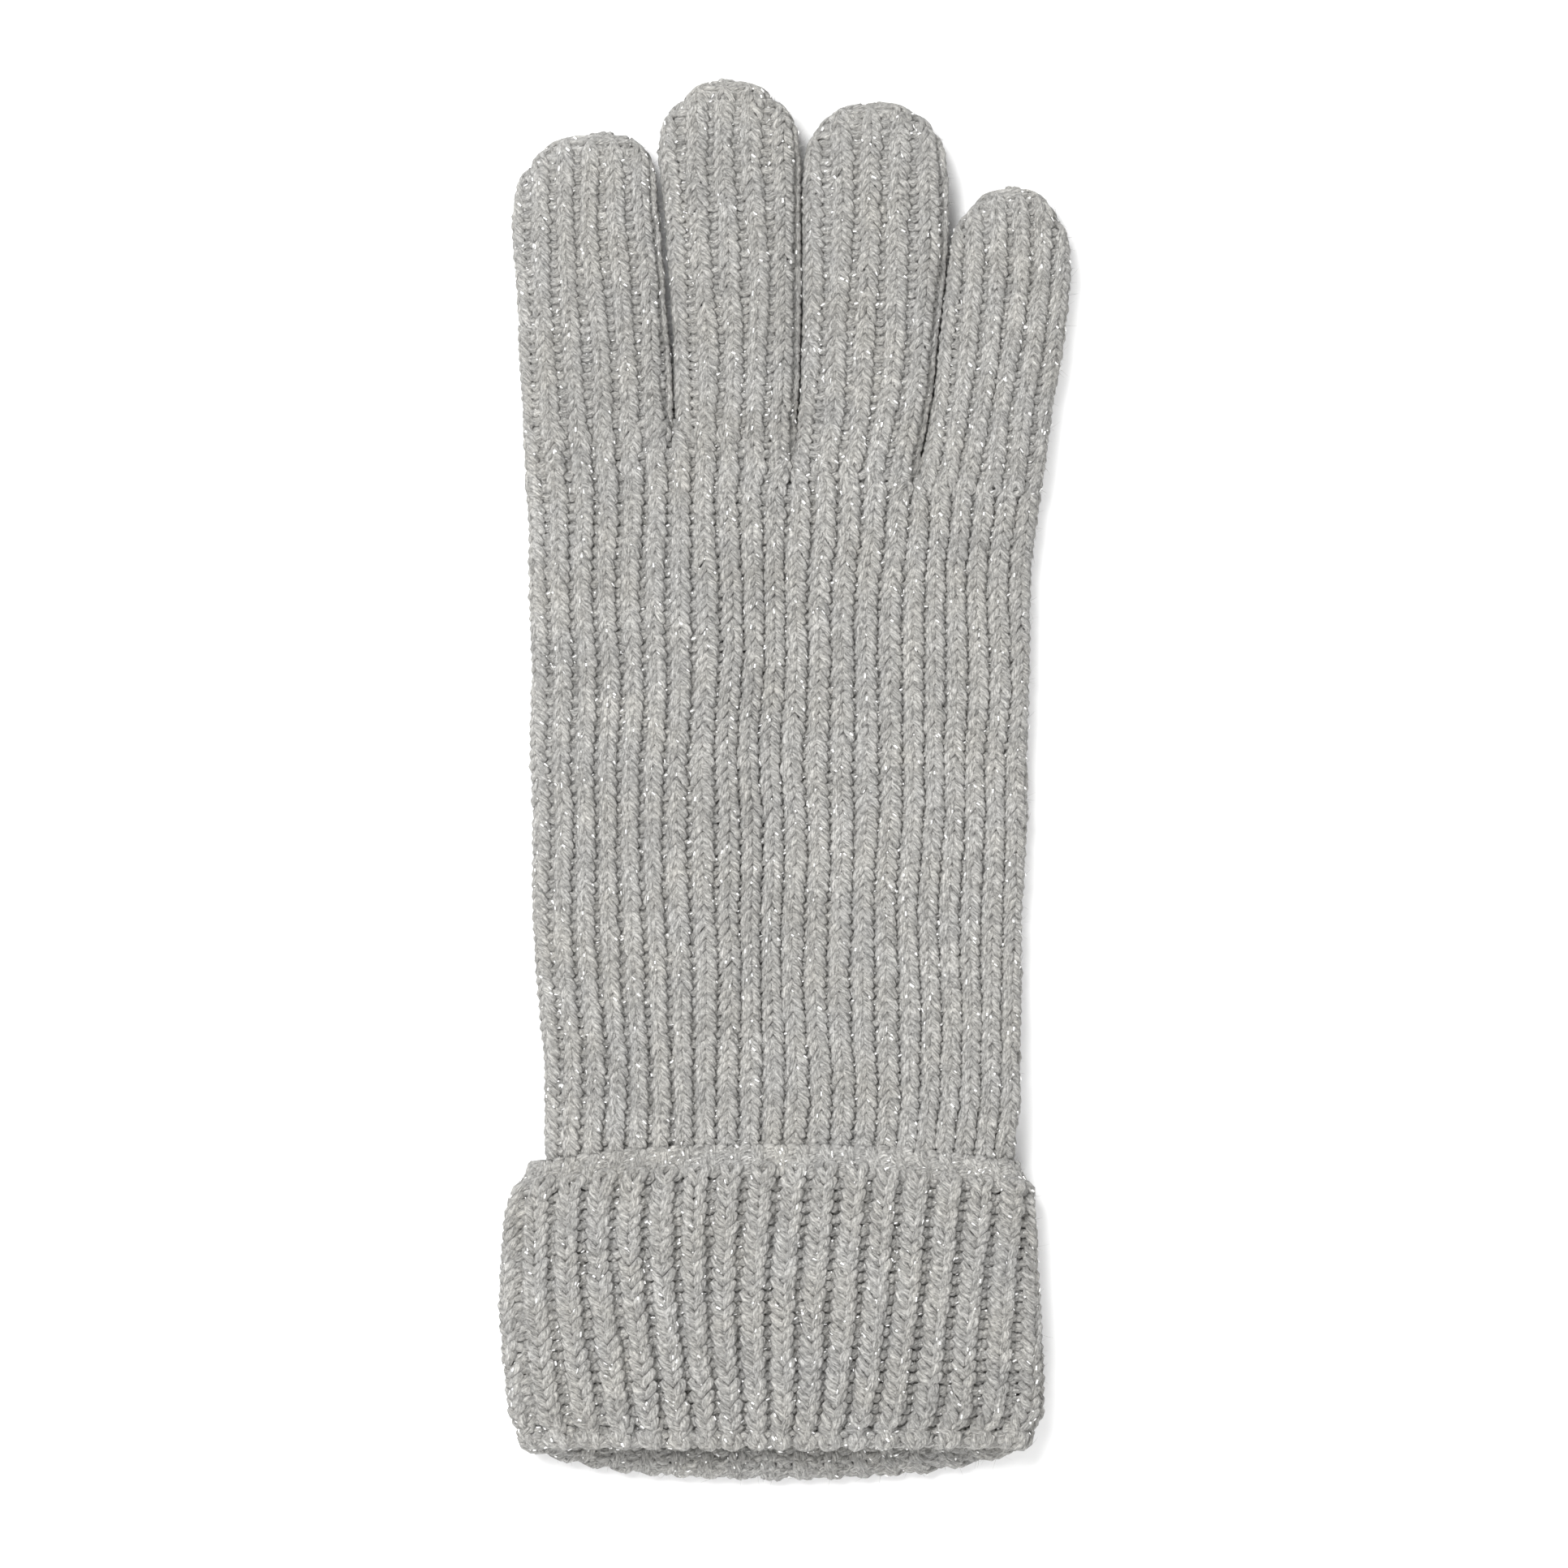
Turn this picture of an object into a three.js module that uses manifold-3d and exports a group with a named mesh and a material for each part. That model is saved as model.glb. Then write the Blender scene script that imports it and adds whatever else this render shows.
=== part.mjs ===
// Knitted rib glove for the right hand, lying palm down with its thumb tucked under the palm and its cuff turned up.
// Millimetres, +Z up. The origin is the middle of the glove's outline on the surface that it lies on.
// +Y runs from the cuff to the fingertips, +X from the forefinger side to the little finger side.
import * as THREE from "three";
import { mergeVertices } from "three/addons/utils/BufferGeometryUtils.js";
import Module from "manifold-3d";

const wasm = await Module();
wasm.setup();

// ---------- driving dimensions ----------
const WALL = 2.2; // the ribbed fabric
const THUMB_WALL = 1.8; // the same fabric pressed under the palm
const CUFF_WALL = 2.8; // the looser ribs of the turned-up cuff
const HALF = 0.2; // half of the clearance left at every fold line
const HAND_THICK = 12.4;
const OVER_THUMB_THICK = 9.8;
const FINGER_THICK = 12.4;
const FINGER_ROOT_Y = 57.9; // where the finger tubes leave the hand
const FOLD_H = 5.2; // height of a finger's fold line above its underside
const ROOT_BACK = 20; // degrees that a finger folds back
const ROOT_FLEX = 90;
const MID_BACK = 10;
const MID_FLEX = 100;
const WRIST_Y = -62.0;
const WRIST_BEND = 40;
const CUFF_LIFT = 3.2; // the hand's underside at the cuff
const CUFF_HALF = 9.4; // half of the cuff's height
const THUMB = { x: -30, half: 13.5, thick: 8.6, root: -14, fold: 12, tip: 38 };
const THUMB_SWING = 45;
const THUMB_BEND = 80;

// Edges of the hand: [y, left x, right x].
const HAND_EDGE = [
  [-126, -45.6, 43.0], [-90, -45.6, 43.0], [-76, -45.6, 42.9], [-68.5, -46.0, 43.6], [-61.8, -46.0, 44.2], [-52.5, -46.4, 44.3],
  [-43.2, -47.1, 44.5], [-24.6, -48.0, 44.9], [-6.0, -48.4, 45.6], [12.6, -48.5, 46.0], [31.2, -48.7, 46.2],
  [40.5, -48.9, 46.5], [49.8, -49.0, 47.7], [57.9, -49.4, 48.9],
];
// Edges between the fingers and at their outsides: [y, x].
const EDGE_A = [[57.9, -49.4], [64, -49.8], [73, -50.4], [82.4, -51.0], [94.8, -51.5], [104, -52.2], [125, -52.4]];
const EDGE_B = [[57.9, -21.6], [69.2, -21.6], [86.9, -21.9], [103.5, -23.1], [121, -24.2], [135, -24.2]];
const EDGE_C = [[57.9, 1.1], [62.2, 1.4], [74, 2.3], [88.6, 2.8], [122, 2.6], [135, 2.6]];
const EDGE_D = [[57.9, 24.6], [64, 26.0], [70.3, 27.5], [76.5, 28.0], [86.9, 29.4], [94.3, 30.0], [104, 30.6], [130, 30.8]];
const EDGE_E = [[57.9, 48.9], [63.8, 49.8], [70, 50.6], [76.2, 51.6], [82.4, 52.8], [88.6, 53.3], [97.9, 54.4], [114, 54.4]];
// apex x and y of the tip, where its rounding starts, how square each side of it is, and the two fold lines.
const FINGERS = [
  { name: "index", left: EDGE_A, right: EDGE_B, apex: [-35.6, 124.2], start: 108.5, n: [2.2, 3.4], knuckle: 75.5, fold: 97 },
  { name: "middle", left: EDGE_B, right: EDGE_C, apex: [-11.6, 134.3], start: 120.4, n: [2, 2], knuckle: 75.5, fold: 102 },
  { name: "ring", left: EDGE_C, right: EDGE_D, apex: [16.8, 129.7], start: 116.0, n: [2.2, 2.2], knuckle: 69.5, fold: 99 },
  { name: "little", left: EDGE_D, right: EDGE_E, apex: [43.0, 113.8], start: 98.4, n: [2, 2], knuckle: 67, fold: 92 },
];
const BETWEEN = 0.55; // half of the gap between two fingers
// Outline of the turned-up cuff: [y, left x, right x].
const CUFF_EDGE = [
  [-134.4, -46, 42], [-129, -50.4, 45.6], [-126, -51.6, 47.6], [-119, -52.6, 48.4], [-110, -53.6, 48.2],
  [-98, -54.4, 47.8], [-86, -53.9, 47.2], [-80, -53.2, 47.1], [-74.2, -51.8, 47.0], [-69, -51.0, 46.6],
];

// ---------- helpers ----------
const step = (t) => { const c = Math.min(1, Math.max(0, t)); return c * c * (3 - 2 * c); };
const at = (table, y, col = 1) => {
  if (y <= table[0][0]) return table[0][col];
  for (let i = 1; i < table.length; i++)
    if (y <= table[i][0]) {
      const [a, b] = [table[i - 1], table[i]];
      return a[col] + ((b[col] - a[col]) * (y - a[0])) / (b[0] - a[0]);
    }
  return table[table.length - 1][col];
};
// A closed section in the plane y: across from xl to xr, with the underside and thickness as functions of x. inset moves it inwards.
function section(y, xl, xr, p, under, thick, inset, n, flat = 1.04) {
  const cx = (xl + xr) / 2, a = (xr - xl) / 2 - inset, pts = [];
  for (let i = 0; i < n; i++) {
    const t = (2 * Math.PI * i) / n, c = Math.cos(t), s = Math.sin(t);
    const k = Math.pow(Math.pow(Math.abs(c), p) + Math.pow(Math.abs(s), p), -1 / p);
    const x = cx + a * c * k;
    const h = thick(x) / 2;
    let z = s * k;
    if (!inset) z = Math.max(-1, z * flat);
    pts.push([x, y, under(x) + h + (h - inset) * z]);
  }
  return pts;
}
// A closed solid through sections of equal length, from low y to high y.
function loft(rings) {
  const n = rings[0].length, pos = [], idx = [];
  for (const r of rings) for (const p of r) pos.push(...p);
  for (let j = 0; j + 1 < rings.length; j++)
    for (let i = 0; i < n; i++) {
      const a = j * n + i, b = j * n + ((i + 1) % n), c = a + n, d = b + n;
      idx.push(a, b, d, a, d, c);
    }
  for (const [j, flip] of [[0, true], [rings.length - 1, false]]) {
    const m = pos.length / 3, c = [0, 0, 0];
    for (const p of rings[j]) for (let k = 0; k < 3; k++) c[k] += p[k] / n;
    pos.push(...c);
    for (let i = 0; i < n; i++) {
      const a = j * n + i, b = j * n + ((i + 1) % n);
      idx.push(...(flip ? [m, b, a] : [m, a, b]));
    }
  }
  const g = new THREE.BufferGeometry();
  g.setAttribute("position", new THREE.Float32BufferAttribute(pos, 3));
  g.setIndex(idx);
  return g;
}
function solid(geometry) {
  const g = geometry.clone();
  for (const name of ["normal", "uv"]) g.deleteAttribute(name);
  const m = mergeVertices(g, 1e-4);
  let s = new wasm.Manifold(new wasm.Mesh({ numProp: 3, vertProperties: new Float32Array(m.attributes.position.array), triVerts: new Uint32Array(m.index.array) }));
  if (s.volume() < 0) {
    const t = new Uint32Array(m.index.array);
    for (let i = 0; i < t.length; i += 3) [t[i + 1], t[i + 2]] = [t[i + 2], t[i + 1]];
    s = new wasm.Manifold(new wasm.Mesh({ numProp: 3, vertProperties: new Float32Array(m.attributes.position.array), triVerts: t }));
  }
  return s;
}
function geometryOf(s) {
  const m = s.getMesh(), n = m.numProp, v = new Float32Array(m.numVert * 3);
  for (let i = 0; i < m.numVert; i++) v.set(m.vertProperties.subarray(i * n, i * n + 3), i * 3);
  const g = new THREE.BufferGeometry();
  g.setAttribute("position", new THREE.BufferAttribute(v, 3));
  g.setIndex(new THREE.BufferAttribute(m.triVerts, 1));
  g.computeVertexNormals();
  return g;
}
// A prism from an outline in the plane of two axes, extruded both ways along the third, and moved to a point.
function prism(points, plane, depth, at0) {
  const shape = new THREE.Shape(points.map(([u, v]) => new THREE.Vector2(u, v)));
  const g = new THREE.ExtrudeGeometry(shape, { depth, bevelEnabled: false });
  g.translate(0, 0, -depth / 2);
  if (plane === "yz") g.applyMatrix4(new THREE.Matrix4().makeBasis(new THREE.Vector3(0, 1, 0), new THREE.Vector3(0, 0, 1), new THREE.Vector3(1, 0, 0)));
  g.translate(...at0);
  return solid(g);
}
const tan = (deg) => Math.tan(THREE.MathUtils.degToRad(deg));
// What is cut from the piece beyond a fold line (side 1) or before it (side -1): low and high are the degrees of room below and above the line.
function foldCut(pos, low, high, side, wide = 130) {
  const H = 26, s = side;
  return prism(
    [[s * HALF, 0], [s * (HALF + H * tan(high / 2)), H], [-s * 90, H], [-s * 90, -H], [s * (HALF + H * tan(low / 2)), -H]],
    "yz", wide, pos,
  );
}
function box(x0, x1, y0, y1, z0, z1) {
  const g = new THREE.BoxGeometry(x1 - x0, y1 - y0, z1 - z0);
  g.translate((x0 + x1) / 2, (y0 + y1) / 2, (z0 + z1) / 2);
  return solid(g);
}
const steps = (a, b, d) => { const n = Math.max(1, Math.round(Math.abs(b - a) / d)); return Array.from({ length: n + 1 }, (_, i) => a + ((b - a) * i) / n); };

// ---------- the shape that the hand lies in ----------
// How much the tucked thumb lifts the palm at x, y: full over the thumb and easing off round it.
function lift(x, y) {
  const dx = Math.max(0, Math.abs(x - THUMB.x) - (THUMB.half - 0.5));
  const dy = Math.max(0, y - (THUMB.tip - 1.5), -41.5 - y);
  const side = x < THUMB.x ? 1 : 1 - step(dx / 17); // the thumb swings out on the forefinger side
  return (THUMB.thick + 0.4) * side * (1 - step(dy / (y > 0 ? 21 : 17)));
}
const handUnder = (x, y) => Math.max(CUFF_LIFT * (1 - step((y - WRIST_Y) / 34)), 0) * (1 - lift(x, y) / 9) + lift(x, y);
const handThick = (x, y) => HAND_THICK + ((OVER_THUMB_THICK - HAND_THICK) * lift(x, y)) / (THUMB.thick + 0.4);

const group = new THREE.Group();
const yarn = { color: 0xb9b8b4, roughness: 0.9, metalness: 0.0 };
function add(name, s, shade = 0) {
  const c = new THREE.Color(yarn.color).offsetHSL(0, 0, shade);
  const mesh = new THREE.Mesh(geometryOf(s), new THREE.MeshStandardMaterial({ ...yarn, color: c }));
  mesh.name = name;
  group.add(mesh);
}

// ---------- hand ----------
const handRings = (inset, ys) =>
  ys.map((y) => section(y, at(HAND_EDGE, y, 1), at(HAND_EDGE, y, 2), 4.5, (x) => handUnder(x, y), (x) => handThick(x, y), inset, 44));
const HAND_TOP = FINGER_ROOT_Y - 0.2;
const handYs = [-62, -57, -51, -45, -39, -33, -26, -18, -10, -1, 8, 17, 26, 32, 37, 42, 47, 52, HAND_TOP];
let hand = solid(loft(handRings(0, handYs))).subtract(solid(loft(handRings(WALL, [-64, ...handYs.slice(1, -1), HAND_TOP + 2]))));
hand = hand.subtract(foldCut([0, WRIST_Y, CUFF_LIFT + HAND_THICK / 2], WRIST_BEND + 3, WRIST_BEND + 3, 1));
const thumbHole = box(THUMB.x - 10.5, THUMB.x + 10.5, -34, -17, 6, 13);
add("hand_shell", hand.subtract(thumbHole));

// ---------- thumb ----------
function thumbRings(inset, ys) {
  return ys.map((y) => {
    const r = THUMB.half, tipAt = THUMB.tip - 12.5, tailAt = -27.5;
    let w = 1, h = 1;
    if (y > tipAt) { const t = (y - tipAt) / 12.5; w = Math.sqrt(Math.max(0.012, 1 - t * t)); h = Math.pow(Math.max(0.02, 1 - Math.pow(t, 3.5)), 1 / 3.5); }
    if (y < tailAt) { const t = (tailAt - y) / 12.5; w = Math.sqrt(Math.max(0.012, 1 - t * t)); h = Math.pow(Math.max(0.02, 1 - Math.pow(t, 3.5)), 1 / 3.5); }
    const half = Math.max(r * w, inset + 0.4), thick = Math.max(THUMB.thick * h, 2 * inset + 0.4);
    const zc = THUMB.thick / 2;
    return section(y, THUMB.x - half, THUMB.x + half, 3.2, () => zc - thick / 2, () => thick, inset, 26, h === 1 ? 1.04 : 1);
  });
}
const thumbYs = [-40, -39.3, -37.5, -34.5, -31, -27.5, -14, 0, 12, 18, 25.5, 29, 32.5, 35.2, 37.1, 38];
const thumbInYs = [-38, -37.2, -35, -32, -27.5, -14, 0, 12, 18, 25.5, 29, 32.4, 34.6, 36];
const thumbAll = solid(loft(thumbRings(0, thumbYs))).subtract(solid(loft(thumbRings(THUMB_WALL, thumbInYs))));
// The swing line is upright, so room is cut on the side that the thumb swings to.
function swingCut(side) {
  const s = side, W = 30, g = THUMB_SWING / 2 + 1.5;
  return prism([[0, s * HALF], [-W, s * (HALF + W * tan(g))], [-W, -s * 90], [W, -s * 90], [W, s * (HALF + 0.1)]], "xy", 40, [THUMB.x, THUMB.root, 0]);
}
add("thumb_gusset", thumbAll.subtract(swingCut(-1)).subtract(box(THUMB.x - 10.5, THUMB.x + 10.5, -34, -17, 5, 13)), -0.01);
const thumbFold = [THUMB.x, THUMB.fold, THUMB.thick / 2];
add("thumb_root", thumbAll.subtract(swingCut(1)).subtract(foldCut(thumbFold, THUMB_BEND + 3, 1, -1)), -0.02);
add("thumb_tip", thumbAll.subtract(foldCut(thumbFold, THUMB_BEND + 3, 1, 1)), -0.03);

// ---------- fingers ----------
function fingerRings(f, inset, ys) {
  return ys.map((y) => {
    const xl = at(f.left, Math.min(y, f.start)) + BETWEEN * (f.name === "index" ? 0 : 1);
    const xr = at(f.right, Math.min(y, f.start)) - BETWEEN * (f.name === "little" ? 0 : 1);
    let l = xl, r = xr, h = 1;
    if (y > f.start) {
      const t = Math.min(0.992, (y - f.start) / (f.apex[1] - f.start));
      l = f.apex[0] - (f.apex[0] - xl) * Math.pow(1 - Math.pow(t, f.n[0]), 1 / f.n[0]);
      r = f.apex[0] + (xr - f.apex[0]) * Math.pow(1 - Math.pow(t, f.n[1]), 1 / f.n[1]);
      h = Math.pow(1 - Math.pow(t, 4), 1 / 3);
    }
    const half = Math.max((r - l) / 2, inset + 0.4), c = (l + r) / 2;
    const thick = Math.max(FINGER_THICK * h, 2 * inset + 0.4);
    const p = 2.9 + 2.4 * (1 - step((y - FINGER_ROOT_Y) / 14));
    return section(y, c - half, c + half, p, () => (FINGER_THICK - thick) * 0.45, () => thick, inset, 26, h === 1 ? 1.04 : 1);
  });
}
for (const f of FINGERS) {
  const tip = f.apex[1], L = tip - f.start;
  const low = steps(FINGER_ROOT_Y + 0.2, f.start, 6);
  const outYs = [...low, ...[0.3, 0.55, 0.75, 0.88, 0.96, 1].map((t) => f.start + t * L)];
  // The hollow keeps the wall's thickness at the tip.
  const hollow = low.map((y) => y), end = L - WALL;
  const inYs = [FINGER_ROOT_Y - 2, ...hollow.slice(1), ...[0.35, 0.65, 0.85, 1].map((t) => f.start + t * end)];
  const all = solid(loft(fingerRings(f, 0, outYs))).subtract(solid(loft(fingerRings(f, WALL, inYs))));
  const mid = (y) => (at(f.left, y) + at(f.right, y)) / 2;
  const k = [mid(f.knuckle), f.knuckle, FOLD_H], m = [mid(f.fold), f.fold, FOLD_H];
  add(f.name + "_base", all.subtract(foldCut(k, ROOT_FLEX + 3, ROOT_BACK + 3, -1)), 0.01);
  add(f.name + "_lower", all.subtract(foldCut(k, ROOT_FLEX + 3, ROOT_BACK + 3, 1)).subtract(foldCut(m, MID_FLEX + 3, MID_BACK + 3, -1)), 0.0);
  add(f.name + "_tip", all.subtract(foldCut(m, MID_FLEX + 3, MID_BACK + 3, 1)), -0.01);
}

// ---------- wrist and cuff ----------
const wristYs = [-124, -110, -96, -82, -70, -62];
const wristRings = (inset, ys) =>
  ys.map((y) => section(y, at(HAND_EDGE, y, 1), at(HAND_EDGE, y, 2), 4.0, () => CUFF_LIFT + 0.3, () => HAND_THICK - 0.6, inset, 44, 1));
let wrist = solid(loft(wristRings(0, wristYs))).subtract(solid(loft(wristRings(WALL, [-126, ...wristYs.slice(1, -1), -60]))));
wrist = wrist.subtract(foldCut([0, WRIST_Y, CUFF_LIFT + HAND_THICK / 2], WRIST_BEND + 3, WRIST_BEND + 3, -1));
add("wrist_rib", wrist, -0.015);

// An outer sleeve section: flat underneath at z 0.
const sleeve = (y, inset, extra = 0) => {
  const half = CUFF_HALF - extra;
  return section(y, at(CUFF_EDGE, y, 1) + extra, at(CUFF_EDGE, y, 2) - extra, 4.5, () => CUFF_HALF - half, () => 2 * half, inset, 44, inset || extra ? 1 : 1.04);
};
const CUFF_TOP = -74.6, CUFF_LOW = -124.2;
const cuffYs = [CUFF_LOW, -117, -108, -98, -88, -80, CUFF_TOP];
add("cuff_turnup", solid(loft(cuffYs.map((y) => sleeve(y, 0)))).subtract(solid(loft([CUFF_LOW - 1, ...cuffYs.slice(1, -1), CUFF_TOP + 1].map((y) => sleeve(y, CUFF_WALL))))), 0.015);

// The finished edge: a slim roll round the top of the turned-up layer, higher in the middle than at its ends.
const arch = (x, c) => 1 - Math.pow(Math.abs((x - c) / 52), 2.4);
function bendEdge(rings, y0, y1) {
  return rings.map((r, j) => r.map(([x, , z]) => {
    const top = y1 - 3.6 + 3.6 * arch(x, -2);
    return [x, y0 + ((top - y0) * j) / (rings.length - 1), z];
  }));
}
{
  const out = [0, 0.5, 1].map((t) => sleeve(CUFF_TOP, 0, t === 1 ? 0.5 : 0));
  const inn = [0, 0.5, 1].map(() => sleeve(CUFF_TOP, CUFF_WALL));
  const a = solid(loft(bendEdge(out, CUFF_TOP + 0.3, -69.3)));
  const b = solid(loft(bendEdge(inn, CUFF_TOP - 3, -62)));
  add("cuff_edge", a.subtract(b), 0.03);
}
// The fold at the mouth: joins the inner and the turned-up layer. It hangs lower on the palm side.
{
  const top = CUFF_LOW - 0.3;
  const low = (x, z) => -127.9 - 6.5 * step((11.5 - z) / 6) * arch(x, -2);
  const ring = (t, inset, extra) => sleeve(-126, inset, extra).map(([x, , z]) => [x, top + (low(x, z) - top) * t, z]);
  const out = [ring(1, 0, 1.6), ring(0.72, 0, 0.6), ring(0.4, 0, 0), ring(0, 0, 0)];
  const inn = [[1.4, 4.6], [1.0, 4.6], [0.6, 5.2], [-0.6, 5.6]].map(([t, inset]) => ring(t, inset, 0));
  add("cuff_fold", solid(loft(out)).subtract(solid(loft(inn))), 0.02);
}

export default group;
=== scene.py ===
import math
import numpy as np
import bpy
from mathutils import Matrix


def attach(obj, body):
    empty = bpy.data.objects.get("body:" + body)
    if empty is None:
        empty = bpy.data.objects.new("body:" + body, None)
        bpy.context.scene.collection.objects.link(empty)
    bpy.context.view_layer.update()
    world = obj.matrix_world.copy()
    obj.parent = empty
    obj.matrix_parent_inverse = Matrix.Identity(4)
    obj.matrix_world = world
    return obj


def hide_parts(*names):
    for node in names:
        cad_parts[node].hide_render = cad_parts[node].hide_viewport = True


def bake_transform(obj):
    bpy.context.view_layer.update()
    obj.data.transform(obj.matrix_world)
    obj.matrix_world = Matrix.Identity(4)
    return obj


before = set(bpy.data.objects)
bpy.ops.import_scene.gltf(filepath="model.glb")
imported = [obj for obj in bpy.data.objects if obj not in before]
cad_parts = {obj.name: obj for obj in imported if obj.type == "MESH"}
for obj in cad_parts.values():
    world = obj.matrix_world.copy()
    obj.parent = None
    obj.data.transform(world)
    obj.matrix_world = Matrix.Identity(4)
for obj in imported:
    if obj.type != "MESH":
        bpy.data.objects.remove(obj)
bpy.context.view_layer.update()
rng = np.random.default_rng(41)
TAU = 2 * math.pi
MM = 0.001
SEGS, SIDES = ((14, 7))
FUZZ = 0.24  # loose fibres to a millimetre of yarn

# ---------------------------------------------------------------- the shape of the glove, in millimetres


def table(rows):
    a = np.array(sorted(rows), float)
    return lambda y: np.interp(y, a[:, 0], a[:, 1])


HAND_L = table([(-92, -45.2), (-74, -45.4), (-68, -45.9), (-61.8, -45.9), (-52.5, -46.0), (-43.2, -47.1), (-33.9, -47.6), (-24.6, -48.1), (-15.3, -48.2), (-6, -48.3), (3.3, -48.8), (12.6, -48.5), (21.9, -48.2), (31.2, -48.7), (40.5, -49.0), (49.8, -48.9), (54.5, -49.2), (60, -49.6), (70, -50.2)])
HAND_R = table([(-92, 42.6), (-74, 43.0), (-68, 43.5), (-61.8, 44.3), (-52.5, 44.3), (-43.2, 44.5), (-33.9, 44.5), (-24.6, 44.7), (-15.3, 45.3), (-6, 45.8), (3.3, 45.6), (12.6, 46.0), (21.9, 46.2), (31.2, 46.2), (40.5, 46.4), (49.8, 47.7), (54.5, 48.2), (60, 49.1), (70, 50.4)])
A_OUT = table([(55, -49.4), (63.8, -49.8), (73.1, -50.4), (82.4, -51.0), (88.6, -51.2), (94.8, -51.5), (101, -52.1), (107.2, -52.3), (125, -52.4)])
B_MID = table([(55, -21.4), (68, -21.5), (84.9, -21.8), (95.9, -22.6), (110.4, -23.7), (122.5, -25.2), (135, -25.2)])
C_MID = table([(55, 1.0), (62.2, 1.3), (73.9, 2.5), (88.6, 2.9), (103.2, 2.9), (122.2, 2.8), (135, 2.8)])
D_MID = table([(55, 24.4), (60.7, 25.6), (73.9, 28.1), (84.9, 29.2), (95.9, 30.5), (105.3, 31.1), (130, 31.1)])
E_OUT = table([(55, 48.6), (60.7, 49.3), (66.9, 50.1), (73.1, 50.9), (76.2, 51.6), (82.4, 52.7), (91.7, 53.8), (97.9, 54.4), (104.1, 54.0), (114, 54.0)])
CUFF_L = table([(-140, -48.0), (-132, -49.6), (-128.4, -50.7), (-126.1, -51.5), (-123.8, -51.9), (-119.1, -52.5), (-112.1, -53.3), (-105.2, -53.8), (-98.2, -54.3), (-91.2, -54.0), (-86.6, -53.8), (-81.9, -53.3), (-77.3, -52.7), (-74.9, -51.6), (-69, -51.0)])
CUFF_R = table([(-140, 42.0), (-132, 43.0), (-128.4, 44.6), (-126.1, 46.3), (-123.8, 47.7), (-119.1, 48.5), (-112.1, 48.4), (-105.2, 48.1), (-98.2, 47.9), (-91.2, 47.4), (-86.6, 47.2), (-81.9, 47.0), (-77.3, 46.8), (-74.9, 46.8), (-69, 46.4)])
HAND_THICK, OVER_THUMB, FINGER_THICK = 12.4, 9.8, 12.4
CUFF_LIFT, CUFF_HALF = 3.2, 9.4
THUMB_X, THUMB_HALF, THUMB_THICK, THUMB_TIP, THUMB_END = -30.0, 13.5, 8.6, 38.0, -40.0
SKIN = 1.65  # from the middle of the fabric to its outside
SIDE = 1.15  # the same where the fabric turns at an edge


def step(t):
    c = np.clip(t, 0, 1)
    return c * c * (3 - 2 * c)


def lift(x, y):
    dx = np.maximum(0, np.abs(x - THUMB_X) - (THUMB_HALF - 0.5))
    side = np.where(x < THUMB_X, 1.0, 1 - step(dx / 17))
    dy = np.maximum(0, np.maximum(y - (THUMB_TIP - 1.5), -41.5 - y))
    return (THUMB_THICK + 0.4) * side * (1 - step(dy / np.where(y > 0, 21, 17)))


def hand_under(x, y):
    f = lift(x, y)
    return CUFF_LIFT * (1 - step((y + 62) / 34)) * (1 - f / 9) + f


def hand_thick(x, y):
    return HAND_THICK + (OVER_THUMB - HAND_THICK) * lift(x, y) / (THUMB_THICK + 0.4)


NA = 721
HALF_U = 256
_t = np.linspace(0, math.pi, NA)


def half_curve(p):
    """From the left end over the top to the right end of a rounded slab, -1..1 by 0..1."""
    c, s = -np.cos(_t), np.sin(_t)
    k = (np.abs(c) ** p + np.abs(s) ** p) ** (-1 / p)
    return c * k, s * k


def section(y, l, r, p, under, thick, marks=None, side_in=SIDE, pinch=()):
    """The middle of the fabric round the tube at y: 2 * HALF_U + 1 points, over the top and back underneath.
    marks is (share of the top, x) pairs that pin ribs to places across the top."""
    cx, a = (l + r) / 2, (r - l) / 2 - side_in
    hx, hz = half_curve(p)
    out = []
    for side in (1, -1):
        x = cx + a * hx
        h = thick(x, y) / 2
        room = np.ones_like(x)
        for g, amount in pinch:
            room -= amount * np.exp(-(((x - g) / 2.1) ** 2))
        z = under(x, y) + h + side * (h - SKIN) * hz * room
        s = np.concatenate([[0], np.cumsum(np.hypot(np.diff(x), np.diff(z)))])
        s /= s[-1]
        want = np.linspace(0, 1, HALF_U + 1)
        if marks is not None:
            shares, xs = marks
            want = np.interp(want, shares, np.interp(xs, x, s, left=0, right=1))
        out.append(np.stack([np.interp(want, s, x), np.interp(want, s, z)], 1))
    top, low = out
    ring = np.concatenate([top, low[::-1][1:]])
    return np.stack([ring[:, 0], np.full(len(ring), float(y)), ring[:, 1]], 1)


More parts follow.
